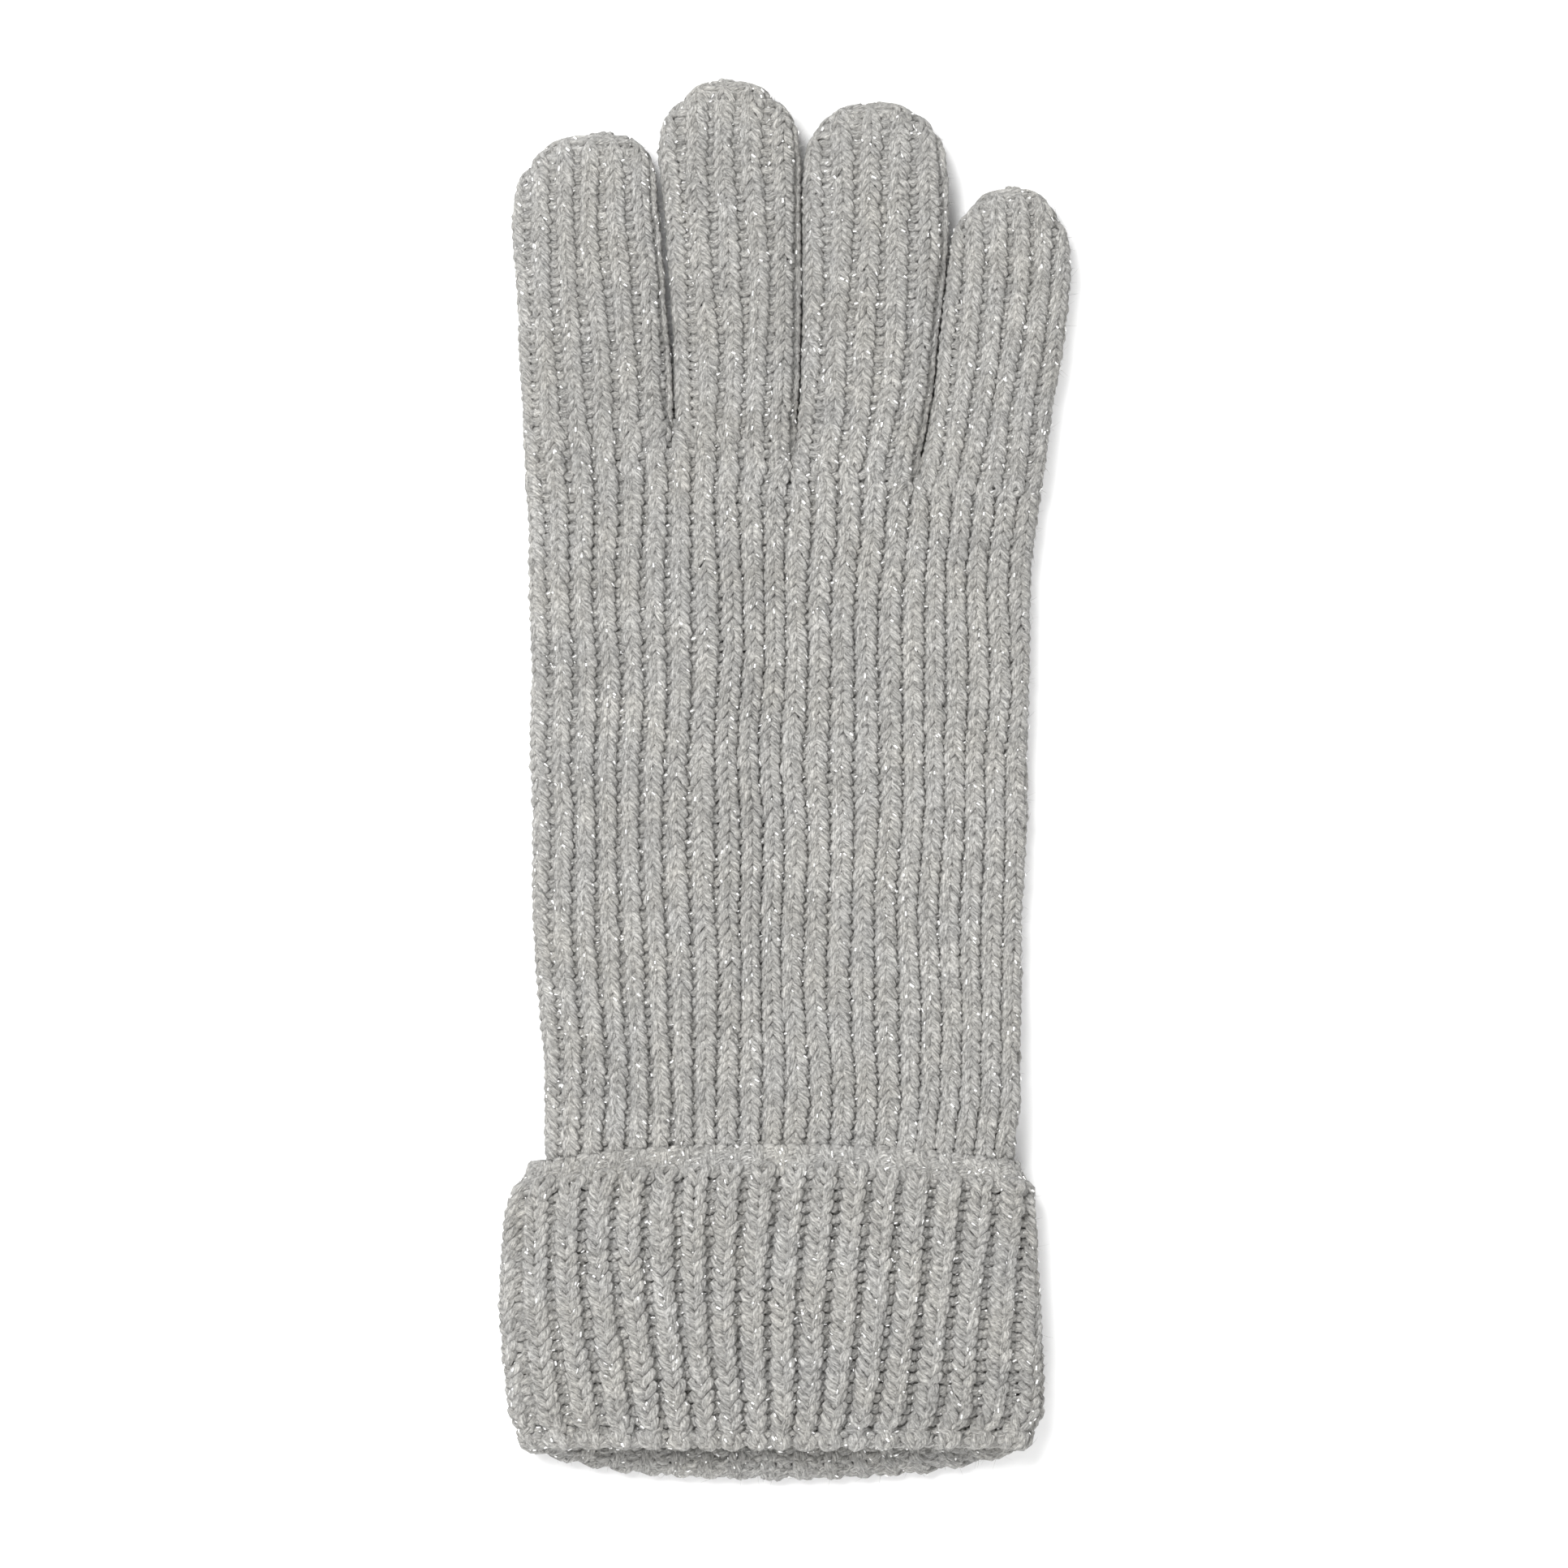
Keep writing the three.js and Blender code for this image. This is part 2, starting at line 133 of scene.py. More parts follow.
class Tube:
    """A grid of points, rows along q in the direction of knitting, columns u round the tube from 0 to 1, with outward normals."""

    def __init__(self, q, rows, flip=False):
        self.q = np.asarray(q, float)
        self.p = np.asarray(rows, float)
        du = np.gradient(self.p, axis=1)
        du[:, 0] = du[:, -1] = self.p[:, 1] - self.p[:, -2]
        dq = np.gradient(self.p, self.q, axis=0)
        n = np.cross(du, dq) if flip else np.cross(dq, du)
        size = np.linalg.norm(n, axis=2, keepdims=True)
        mid = self.p.mean(axis=1, keepdims=True)
        away = self.p - mid
        away[..., 1] = 0
        away /= np.maximum(np.linalg.norm(away, axis=2, keepdims=True), 1e-6)
        n = np.where(size > 1e-5, n / np.maximum(size, 1e-9), away)
        self.n = n
        self.length = np.linalg.norm(np.diff(self.p, axis=1), axis=2).sum(1)

    def at(self, u, q):
        m = self.p.shape[1] - 1
        fu = (u % 1.0) * m
        iu = np.minimum(fu.astype(int), m - 1)
        fu = (fu - iu)[:, None]
        fq = np.interp(q, self.q, np.arange(len(self.q)))
        iq = np.minimum(fq.astype(int), len(self.q) - 2)
        fq = (fq - iq)[:, None]

        def mix(a):
            lo = a[iq, iu] * (1 - fu) + a[iq, iu + 1] * fu
            hi = a[iq + 1, iu] * (1 - fu) + a[iq + 1, iu + 1] * fu
            return lo * (1 - fq) + hi * fq

        n = mix(self.n)
        return mix(self.p), n / np.maximum(np.linalg.norm(n, axis=1, keepdims=True), 1e-9)


# ---------------------------------------------------------------- yarn


class Cloth:
    """Gathers rings of yarn, a lining and glints into one mesh."""

    def __init__(self):
        self.v, self.f, self.uv, self.row, self.kind = [], [], [], [], []
        self.count, self.strip, self.spots, self.roots = 0, 0, [], []

    def grid(self, pts, closed_i, closed_j, uv_u, uv_v, kind, folds=1):
        """pts (n, m, 3) as quads; uv_u along i in mm, uv_v along j from 0 to 1."""
        n, m = pts.shape[:2]
        i = np.arange(n if closed_i else n - 1)
        j = np.arange(m if closed_j else m - 1)
        I, J = np.meshgrid(i, j, indexing="ij")
        I, J = I.ravel(), J.ravel()
        I2, J2 = (I + 1) % n, (J + 1) % m
        quads = np.stack([I * m + J, I2 * m + J, I2 * m + J2, I * m + J2], 1) + self.count
        u = np.append(uv_u, uv_u[-1] + (uv_u[-1] - uv_u[-2])) if closed_i else uv_u
        v = np.linspace(0, 1, m + 1) if closed_j else uv_v
        uv = np.stack([np.stack([u[I], v[J]], 1), np.stack([u[I + 1], v[J]], 1), np.stack([u[I + 1], v[J + 1]], 1), np.stack([u[I], v[J + 1]], 1)], 1)
        span = max(1, math.ceil(len(i) / folds))
        part = I // span
        a, b = (I - part * span) / span, (I - part * span + 1) / span
        pv, pw = J / len(j), (J + 1) / len(j)
        lay = np.stack([np.stack([a, pv], 1), np.stack([b, pv], 1), np.stack([b, pw], 1), np.stack([a, pw], 1)], 1)
        self.v.append(pts.reshape(-1, 3))
        self.f.append(quads)
        self.uv.append(uv)
        self.row.append((lay, self.strip + part))
        self.kind.append(np.full(n * m, kind, np.float32))
        self.strip += int(part.max()) + 1
        self.count += n * m

    def yarn(self, p, n, radius, flat=0.86, glints=0.0, scale=None):
        """One closed ring of yarn through the points p, lying on a surface with normals n."""
        keep = np.linalg.norm(p - np.roll(p, 1, axis=0), axis=1) > 0.12
        p, n = p[keep], n[keep]
        scale = 1.0 if scale is None else scale[keep]
        if len(p) < 6:
            return
        t = np.roll(p, -1, axis=0) - np.roll(p, 1, axis=0)
        t /= np.maximum(np.linalg.norm(t, axis=1, keepdims=True), 1e-9)
        b = np.cross(t, n)
        b /= np.maximum(np.linalg.norm(b, axis=1, keepdims=True), 1e-6)
        m = np.cross(b, t)
        s = np.cumsum(np.linalg.norm(p - np.roll(p, 1, axis=0), axis=1))
        k = rng.normal(size=6)
        r = radius * (1 + 0.05 * np.sin(s / 7 + k[0]) + 0.05 * np.sin(s / 2.9 + k[1]) + 0.04 * np.sin(s / 1.3 + k[2])) * scale
        a = np.arange(SIDES) * TAU / SIDES
        ring = flat * np.cos(a)[None, :, None] * m[:, None, :] + np.sin(a)[None, :, None] * b[:, None, :]
        self.grid(p[:, None, :] + r[:, None, None] * ring, True, True, s + 1000 * rng.random(), None, 0.0, folds=4)
        if glints:
            total = s[-1]
            c = rng.poisson(glints * total)
            i = rng.integers(0, len(p), c)
            phi = rng.normal(0, 1.0, c)
            d = np.cos(phi)[:, None] * m[i] * flat + np.sin(phi)[:, None] * b[i]
            along = t[i] + 0.55 * np.cross(d, t[i])
            self.spots.append((p[i] + d * r[i][:, None] * 1.0, d, along))
            c = rng.poisson(FUZZ * total)
            i = rng.integers(0, len(p), c)
            phi = rng.normal(0, 0.9, c)
            d = np.cos(phi)[:, None] * m[i] * flat + np.sin(phi)[:, None] * b[i]
            self.roots.append((p[i] + d * r[i][:, None] * 0.9, d, t[i]))

    def glints(self):
        if not self.spots:
            return
        p = np.concatenate([x[0] for x in self.spots])
        d = np.concatenate([x[1] for x in self.spots])
        t = np.concatenate([x[2] for x in self.spots])
        if not len(p):
            return
        d = d / np.linalg.norm(d, axis=1, keepdims=True)
        t = t / np.linalg.norm(t, axis=1, keepdims=True)
        w = np.cross(d, t)
        c = len(p)
        tilt = rng.normal(0, 0.5, (c, 1))
        w = w * np.cos(tilt) + d * np.sin(tilt)
        d = np.cross(t, w)
        L = rng.uniform(0.2, 0.5, (c, 1, 1))
        W = rng.uniform(0.12, 0.2, (c, 1, 1))
        H = 0.07
        sx = np.array([-1, 1, 1, -1, -1, 1, 1, -1])[None, :, None]
        sy = np.array([-1, -1, 1, 1, -1, -1, 1, 1])[None, :, None]
        sz = np.array([-1, -1, -1, -1, 1, 1, 1, 1])[None, :, None]
        v = p[:, None] + t[:, None] * sx * L + w[:, None] * sy * W + d[:, None] * (sz * H + 0.06)
        box = np.array([[0, 3, 2, 1], [4, 5, 6, 7], [0, 1, 5, 4], [1, 2, 6, 5], [2, 3, 7, 6], [3, 0, 4, 7]])
        f = (np.arange(c)[:, None, None] * 8 + box[None]).reshape(-1, 4) + self.count
        per = 400
        lay = np.zeros((c, 6, 4, 2))
        corner = np.array([[0, 0], [1, 0], [1, 1], [0, 1]], float)
        lay[..., 0] = ((np.arange(c) % per)[:, None, None] + (np.arange(6)[None, :, None] + corner[None, None, :, 0] * 0.9) / 6) / per
        lay[..., 1] = corner[None, None, :, 1]
        self.v.append(v.reshape(-1, 3))
        self.f.append(f)
        self.uv.append(np.repeat(rng.random((c, 1, 1, 1)) * 50, 6, 1).repeat(4, 2).repeat(2, 3).reshape(-1, 4, 2))
        self.row.append((lay.reshape(-1, 4, 2), self.strip + np.repeat(np.arange(c) // per, 6)))
        # kind 1 marks the lurex flecks, which the material paints near white as glints
        self.kind.append(np.full(c * 8, 1.0, np.float32))
        self.strip += (c - 1) // per + 1
        self.count += c * 8

    def hairs(self):
        """Loose fibres that stand off the yarn: thin closed three-sided threads."""
        if not self.roots:
            return
        p, d, t = (np.concatenate([x[k] for x in self.roots]) for k in range(3))
        c = len(p)
        if not c:
            return
        side = np.cross(d, t)
        way = t * rng.normal(0, 1, (c, 1)) + side * rng.normal(0, 0.8, (c, 1)) + d * rng.uniform(0.25, 1.1, (c, 1))
        way /= np.linalg.norm(way, axis=1, keepdims=True)
        bend = d * rng.normal(0, 0.5, (c, 1)) + side * rng.normal(0, 0.7, (c, 1)) + t * rng.normal(0, 0.7, (c, 1))
        size = rng.uniform(0.7, 2.3, (c, 1))
        k = np.array([0, 0.34, 0.68, 1.0])
        mid = p[:, None] + way[:, None] * (size[:, None] * k[None, :, None]) + bend[:, None] * (size[:, None] * 0.45 * k[None, :, None] ** 2)
        mid[..., 2] = np.maximum(mid[..., 2], 0.05)
        x = np.cross(way, d + 0.3 * t)
        x /= np.maximum(np.linalg.norm(x, axis=1, keepdims=True), 1e-6)
        y = np.cross(way, x)
        r = np.array([1.0, 0.85, 0.6, 0.3]) * 0.034
        a = np.arange(3) * TAU / 3
        v = mid[:, :, None] + r[None, :, None, None] * (np.cos(a)[None, None, :, None] * x[:, None, None] + np.sin(a)[None, None, :, None] * y[:, None, None])
        quads = []
        for i in range(3):
            for j in range(3):
                quads.append([i * 3 + j, i * 3 + (j + 1) % 3, (i + 1) * 3 + (j + 1) % 3, (i + 1) * 3 + j])
        quads = np.array(quads)
        f = (np.arange(c)[:, None, None] * 12 + quads[None]).reshape(-1, 4) + self.count
        caps = np.array([[2, 1, 0], [9, 10, 11]])
        self.tri = (np.arange(c)[:, None, None] * 12 + caps[None]).reshape(-1, 3) + self.count
        per = 500
        lay = np.zeros((c, 9, 4, 2))
        corner = np.array([[0, 0], [1, 0], [1, 1], [0, 1]], float)
        lay[..., 0] = ((np.arange(c) % per)[:, None, None] + (np.arange(9)[None, :, None] + corner[None, None, :, 0]) / 11) / per
        lay[..., 1] = corner[None, None, :, 1]
        row = self.strip + np.repeat(np.arange(c) // per, 9)
        self.v.append(v.reshape(-1, 3))
        self.f.append(f)
        self.uv.append(np.repeat(rng.random((c, 1, 1, 1)) * 50, 9, 1).repeat(4, 2).repeat(2, 3).reshape(-1, 4, 2))
        self.row.append((lay.reshape(-1, 4, 2), row))
        self.kind.append(np.full(c * 12, 0.1, np.float32))
        tl = np.zeros((c, 2, 3, 2))
        tl[..., 0] = ((np.arange(c) % per)[:, None, None] + (9 + np.arange(2)[None, :, None] + np.array([0, 0.9, 0.45])[None, None]) / 11) / per
        tl[..., 1] = np.array([0, 0, 1.0])[None, None]
        self.tri_lay = (tl.reshape(-1, 3, 2), self.strip + np.repeat(np.arange(c) // per, 2))
        self.tri_uv = np.repeat(rng.random((c, 1, 1, 1)) * 50, 2, 1).repeat(3, 2).repeat(2, 3).reshape(-1, 3, 2)
        self.strip += (c - 1) // per + 1
        self.count += c * 12

    def build(self, name, material):
        self.glints()
        self.tri = None
        self.hairs()
        v = np.concatenate(self.v) * MM
        f = np.concatenate(self.f)
        uv = np.concatenate(self.uv)
        lay = np.concatenate([a for a, _ in self.row])
        row = np.concatenate([b for _, b in self.row])
        lay = lay.copy()
        lay[..., 1] = (row[:, None] + 0.03 + 0.94 * lay[..., 1]) / self.strip
        lay[..., 0] = 0.001 + 0.998 * lay[..., 0]
        idx, starts = f.astype(np.int32).ravel(), np.arange(len(f)) * 4
        uv, lay = uv.reshape(-1, 2), lay.reshape(-1, 2)
        if self.tri is not None:
            starts = np.concatenate([starts, len(idx) + np.arange(len(self.tri)) * 3])
            idx = np.concatenate([idx, self.tri.astype(np.int32).ravel()])
            tl, tr = self.tri_lay
            tl = tl.copy()
            tl[..., 1] = (tr[:, None] + 0.03 + 0.94 * tl[..., 1]) / self.strip
            tl[..., 0] = 0.001 + 0.998 * tl[..., 0]
            uv = np.concatenate([uv, self.tri_uv.reshape(-1, 2)])
            lay = np.concatenate([lay, tl.reshape(-1, 2)])
        me = bpy.data.meshes.new(name)
        me.vertices.add(len(v))
        me.vertices.foreach_set("co", v.astype(np.float32).ravel())
        me.loops.add(len(idx))
        me.loops.foreach_set("vertex_index", idx)
        me.polygons.add(len(starts))
        me.polygons.foreach_set("loop_start", starts.astype(np.int32))
        me.update(calc_edges=True)
        me.polygons.foreach_set("use_smooth", np.ones(len(starts), bool))
        a = me.uv_layers.new(name="Yarn")
        a.uv.foreach_set("vector", uv.astype(np.float32).ravel())
        b = me.uv_layers.new(name="OFBake")
        b.uv.foreach_set("vector", lay.astype(np.float32).ravel())
        me.uv_layers.active = a
        k = me.attributes.new("kind", "FLOAT", "POINT")
        k.data.foreach_set("value", np.concatenate(self.kind))
        me.materials.append(material)
        me.update()
        ob = bpy.data.objects.new(name, me)
        bpy.context.scene.collection.objects.link(ob)
        return ob


class Look:
    """How a stretch is knitted: how high a loop stands, how far the ribs stand out, and the yarn's size."""

    def scaled(self, f):
        return Look(self.pitch, self.radius, self.loop, self.rise * f, self.sink * f, self.wave * (0.5 + 0.5 * f), self.spread, self.purl_spread, self.glints, self.calm)

    def __init__(self, pitch, radius=0.8, loop=1.08, rise=0.5, sink=0.85, wave=0.42, spread=0.33, purl_spread=0.2, glints=0.012, calm=0.45):
        self.pitch, self.radius, self.loop, self.rise, self.sink, self.wave = pitch, radius, loop, rise, sink, wave
        self.spread, self.purl_spread, self.glints, self.calm = spread, purl_spread, glints, calm


def wales(count, share, first=1):
    """Edges of the wales round a tube, knit and purl in turn, and their kinds. share is the part of a rib that is knit, one number or one for each wale."""
    kinds = np.where(np.arange(count) % 2 == 0, first, -first)
    w = np.where(kinds > 0, share, 1 - share)
    e = np.concatenate([[0], np.cumsum(w)])
    return e / e[-1], kinds


def course(tube, q, edges, kinds, look, used=None, wobble=None):
    """The path of one row of yarn at q. Wales that aren't used are passed without a loop."""
    n = len(kinds)
    used = np.ones(n, bool) if used is None else used
    t = np.arange(SEGS) * TAU / SEGS
    u0, u1 = edges[:-1, None], edges[1:, None]
    w = u1 - u0
    spread = np.where(kinds > 0, look.spread, look.purl_spread)[:, None] * (1 + 0.10 * rng.normal(size=(n, 1)))
    lean = rng.normal(0.035, 0.03, (n, 1))
    on = used[:, None].astype(float)
    u = u0 + w * (t / TAU + on * (spread * np.sin(2 * t) + lean * np.sin(t)))
    head = np.sin(t / 2) ** 2
    high = look.pitch * look.loop
    bar = np.tanh(1.7 * np.cos(t)) / math.tanh(1.7)
    rise_q = np.where(kinds[:, None] > 0, np.cos(t), bar)
    dq = on * (-high * rise_q + look.pitch * rng.normal(0, 0.075, (n, 1)) * head) - (1 - on) * high * 0.5
    a = t / math.pi - 1
    win = 1 - a**4
    k = kinds[:, None]
    rise = np.where(kinds > 0, look.rise, look.sink)[:, None] * (1 + 0.12 * rng.normal(size=(n, 1)))
    # the ribs lie flatter where the tube turns at its sides
    mid = (u0 + u1) / 2
    d = np.minimum(np.abs(mid - 0.5), np.minimum(mid, 1 - mid)) * n / 2
    rise = rise * (1 - look.calm * np.exp(-((d / 1.2) ** 2)))
    z = on * (k * (rise * win - look.wave * np.cos(2 * t) * win) + rng.normal(0, 0.07, (n, 1)) * head)
    if wobble is not None:
        u = u + wobble
    u, qq, z = u.ravel(), q + dq.ravel(), z.ravel()
    qq = qq + 0.22 * np.sin(TAU * (3 * u) + q * 0.31) + 0.16 * np.sin(TAU * 7 * u + q * 0.17)
    p, nn = tube.at(u, qq)
    return p + nn * z[:, None], nn, np.repeat(np.where(kinds > 0, 1.0, 1.1), SEGS)


def knit(cloth, tube, qs, edges, kinds, look, used=None, seed=0.0, amp=None, twist=None, loose=1.0):
    """Rows of yarn at each q. edges may change with q; amp scales how far the ribs stand out; twist turns the ribs round the tube."""
    n = len(kinds)
    edges_at, look_at = edges, look
    for j, q in enumerate(qs):
        edges = edges_at(q) if callable(edges_at) else edges_at
        look = look_at if amp is None else look_at.scaled(float(amp(q)))
        ph = np.linspace(0, TAU, n, endpoint=False)
        drift = 0.11 * np.sin(3 * ph + q / 9 + seed) + 0.08 * np.sin(5 * ph - q / 6 + 2 * seed) + rng.normal(0, 0.045, n)
        drift = drift * loose
        wob = (drift * (edges[1:] - edges[:-1]).mean() + (0 if twist is None else twist(edges[:-1], q)))[:, None] * np.ones((1, SEGS))
        t = np.arange(SEGS) / SEGS
        nxt = np.roll(wob[:, 0], -1)[:, None]
        wob = wob[:, :1] * (1 - t) + nxt * t
        use = None if used is None else used(q)
        if use is not None and use.sum() < 3:
            continue
        p, nn, thick = course(tube, q, edges, kinds, look, use, wob)
        cloth.yarn(p, nn, look.radius, glints=look.glints, scale=thick)


def closed_end(tube, q, cols, depth, scales):
    """Rings across the end of a tube, from its middle out to its rim."""
    p, n = tube.at(np.linspace(0, 1, cols, endpoint=False), np.full(cols, q))
    p = p - n * depth
    mid = (p.min(0) + p.max(0)) / 2
    return [mid + (p - mid) * s + np.array([0, 0.22 * (1 - s * s), 0]) for s in scales]


def gather(cloth, tube, tip, rings, start, pitch):
    """The gathered end of a tube: the last rings of yarn, drawn together until they close, and the yarn that lies
    behind the rows where they spread out round the curve of the tip."""
    us = np.linspace(0, 1, 120, endpoint=False)
    for d, r in rings:
        p, n = tube.at(us[::2], np.full(60, -tip + d))
        cloth.yarn(p, n, r, glints=0.03)
    for q in np.arange(-tip + 2.9, -start + 1.0, pitch / 2):
        p, n = tube.at(us, q + 0.16 * np.sin(us * TAU * 11 + q) + 0.1 * np.sin(us * TAU * 5 - 2 * q))
        cloth.yarn(p - n * (0.45 + 0.12 * np.sin(us * TAU * 17 + 3 * q))[:, None], n, 0.58, glints=0.03)
    # the last stitches, drawn over the end from the top to the underside
    p = closed_end(tube, -tip + 0.25, 48, 0.0, (1.0,))[0]
    mid, half = (p.min(0) + p.max(0)) / 2, (p.max(0) - p.min(0)) / 2
    a = np.arange(26) * TAU / 26
    n = np.stack([0 * a, np.cos(a), np.sin(a)], 1)
    for k, x in enumerate(np.arange(mid[0] - half[0] + 0.4, mid[0] + half[0] - 0.3, 1.1)):
        size = np.array([0, 1.0, half[2] + 0.55]) * rng.uniform(0.9, 1.12)
        middle = np.array([x, mid[1] - 0.8, mid[2]]) + 0.1 * rng.normal(size=3)
        lean = 0.34 * (-1) ** k * np.sin(a)[:, None] * np.array([1.0, 0, 0])
        cloth.yarn(middle + n * size + lean, n, 0.6, glints=0.05)


def lining(cloth, tube, q0, q1, depth=0.62, rows=None, cols=96, end=None):
    """A thin dense layer behind the yarn, so that nothing shows through between the stitches. It closes the tube at end."""
    rows = rows or max(3, int(abs(q1 - q0) / 2.2))
    qs = np.linspace(q0, q1, rows)
    us = np.linspace(0, 1, cols, endpoint=False)
    pts = []
    for q in qs:
        p, n = tube.at(us, np.full(cols, q))
        pts.append(p - n * depth)
    outer = np.array(pts)
    c = []
    for q in qs:
        p, n = tube.at(us, np.full(cols, q))
        c.append(p - n * (depth + 0.25))
    inner = np.array(c)
    if end is not None:
        scales = (0.03, 0.35, 0.7, 1.0)
        outer = np.concatenate([closed_end(tube, end, cols, 0.32, scales), outer])
        inner = np.concatenate([closed_end(tube, end, cols, 0.57, scales), inner])
    loop = np.concatenate([outer, inner[::-1], outer[:1]])[:-1]
    # kind 0.5 marks the lining, which the material darkens as painted shade between the stitches
    cloth.grid(np.transpose(loop, (1, 0, 2)), True, True, us * 60, None, 0.5)


# ---------------------------------------------------------------- tubes


def hand_tube():
    top = 60.0
    seg = [-49.4, -21.4, 1.2, 24.8, 48.9]
    ys = np.arange(top, -93, -1.0)
    rows = []
    for y in ys:
        l, r = float(HAND_L(y)), float(HAND_R(y))
        f = step((58 - y) / 60) * 0.2
        xs = [l + (r - l) * ((s - seg[0]) / (seg[-1] - seg[0]) * (1 - f) + f * k / 4) for k, s in enumerate(seg)]
        # tighter ribs right of the middle across the palm
        near = [(g, 0.8 * float(step((y - c + 8) / 8))) for g, c in ((-21.4, 68), (1.2, 61.5), (24.8, 58.4))]
        rows.append(section(y, l, r, 3.7, hand_under, hand_thick, (np.array([0, 12, 22, 32, 44]) / 44, np.array(xs)), pinch=near))
    return Tube(-ys, rows)


def finger_tube(lf, rf, top, start, apex, n, thick0=FINGER_THICK, low=56.0, p=3.1, p_low=4.2, under0=0.0, inner=(False, False), thick_at=None):
    """A finger from its tip down to low. inner tells which side walls face another finger; those take two wales of their own."""
    def marks(l, r):
        a = [(0, l)] + [(2 / 14, l + 1.2)] * inner[0] + [(12 / 14, r - 1.2)] * inner[1] + [(1, r)]
        return (np.array([v[0] for v in a]), np.array([v[1] for v in a])) if any(inner) else None

    hx, hz = half_curve(p)
    ys = np.concatenate([np.linspace(top - 0.05, start, 26), np.arange(start - 1, low, -1.0)])
    rows = []
    under = lambda x, y: under0 + 0 * x
    thick = thick_at or (lambda x, y: thick0 + 0 * x)
    l, r = float(lf(start)) + 0.45 * inner[0], float(rf(start)) - 0.45 * inner[1]
    base = section(start, l, r, p, under, thick, marks(l, r))
    for y in ys:
        l, r = float(lf(min(y, start))) + 0.45 * inner[0], float(rf(min(y, start))) - 0.45 * inner[1]
        if y <= start:
            pp = p + (p_low - p) * step((74 - y) / 14)
            rows.append(section(y, l, r, pp, under, thick, marks(l, r)))
            continue
        t = min(0.9995, (y - start) / (top - start))
        L = apex - (apex - l) * (1 - t ** n[0]) ** (1 / n[0]) + SIDE
        R = apex + (r - apex) * (1 - t ** n[1]) ** (1 / n[1]) - SIDE
        if R - L < 1.0:
            L, R = (L + R) / 2 - 0.5, (L + R) / 2 + 0.5
        h = max(0.5, thick0 / 2 * (1 - t**4.5) ** (1 / 3.0) - SKIN)
        hw, mid = (R - L) / 2, (R + L) / 2
        m = 5 + 30 * (1 - t)
        x = (base[:, 0] - mid) / hw
        x = mid + hw * x / (1 + np.abs(x) ** m) ** (1 / m)
        s = np.abs((x - (L + R) / 2) / ((R - L) / 2))
        z = under0 + thick0 / 2 + h * (1 - np.minimum(s, 1) ** p) ** (1 / p) * np.where(np.arange(len(x)) <= HALF_U, 1, -1)
        rows.append(np.stack([x, np.full(len(x), float(y)), z], 1))
    return Tube(-ys, rows), base


def tip_users(tube, base, edges, lf, rf, top, start, apex, n, margin=0.42):
    m = len(base) - 1
    mid = (edges[:-1] + edges[1:]) / 2
    xs = np.interp(mid * m, np.arange(m + 1), base[:, 0])

    def used(q):
        y = -q
        if y <= start:
            return None
        l, r = float(lf(start)), float(rf(start))
        t = min(0.9995, (y - start) / (top - start))
        L = apex - (apex - l) * (1 - t ** n[0]) ** (1 / n[0]) + SIDE
        R = apex + (r - apex) * (1 - t ** n[1]) ** (1 / n[1]) - SIDE
        hw, mid = (R - L) / 2, (R + L) / 2
        return np.abs(xs - mid) < hw * 1.07

    return used


def merged_tube(lf, rf, y0, y1, marks, shares, crotches=()):
    ys = np.arange(y0 + 3, y1 - 3.01, -1.0)
    rows = []
    under, thick = (lambda x, y: 0 * x), (lambda x, y: FINGER_THICK + 0 * x)
    for y in ys:
        l, r = float(lf(y)), float(rf(y))
        xs = np.array([l] + [float(g(y)) for g in marks] + [r - 1.2, r])
        near = [(float(g(y)), 0.85 * float(step((y - c + 7) / 7))) for g, c in crotches]
        rows.append(section(y, l, r, 4.0, under, thick, (np.array(shares) / shares[-1], xs), pinch=near))
    return Tube(-ys, rows)


def arch(x):
    return 1 - np.minimum(1, np.abs((x + 2) / 51.0)) ** 2.4


def cuff_tube():
    """From inside the mouth, round the fold and up the outside to the free edge."""
    top_edge = lambda x, z: -74.6 + 4.6 * arch(x)
    fold = lambda x, z: -126.6 - 6.3 * step((11.0 - z) / 7) * arch(x)
    rows, qs = [], []

    def ring(inset, y_sec):
        l, r = float(CUFF_L(y_sec)) + inset, float(CUFF_R(y_sec)) - inset
        half = CUFF_HALF - inset
        under = lambda x, y: CUFF_HALF - half + 0 * x
        thick = lambda x, y: 2 * half + 0 * x
        return section(y_sec, l, r, 3.6, under, thick)

    deep = 4.6
    q = 0.0
    for d in np.linspace(15, 0, 11):
        r = ring(deep, -122)
        f = fold(r[:, 0], r[:, 2])
        r[:, 1] = f + 2.3 + d
        rows.append(r)
        qs.append(q)
        q += 1.5
    q -= 1.5
    for a in np.linspace(0, math.pi, 10)[1:-1]:
        inset = deep / 2 * (1 + math.cos(a))
        r = ring(inset, -124)
        f = fold(r[:, 0], r[:, 2])
        r[:, 1] = f + 2.3 - 2.3 * math.sin(a)
        rows.append(r)
        q += 7.2 / 9
        qs.append(q)
    fold_q = q
    for t in np.linspace(0, 1, 46):
        y_mid = -124 + (-70.5 + 124) * t
        r = ring(1.5 * float(step((t - 0.88) / 0.12)) ** 1.5 + 1.3 * float(step((0.07 - t) / 0.07)) ** 1.5, y_mid)
        f = fold(r[:, 0], r[:, 2]) + 2.3
        e = top_edge(r[:, 0], r[:, 2])
        r[:, 1] = f + (e - f) * t
        # the free edge draws in a little
        rows.append(r)
        qs.append(q + 0.8 + 52.5 * t)
    return Tube(qs, rows, flip=True), fold_q + 0.8, qs[-1]


# ---------------------------------------------------------------- material


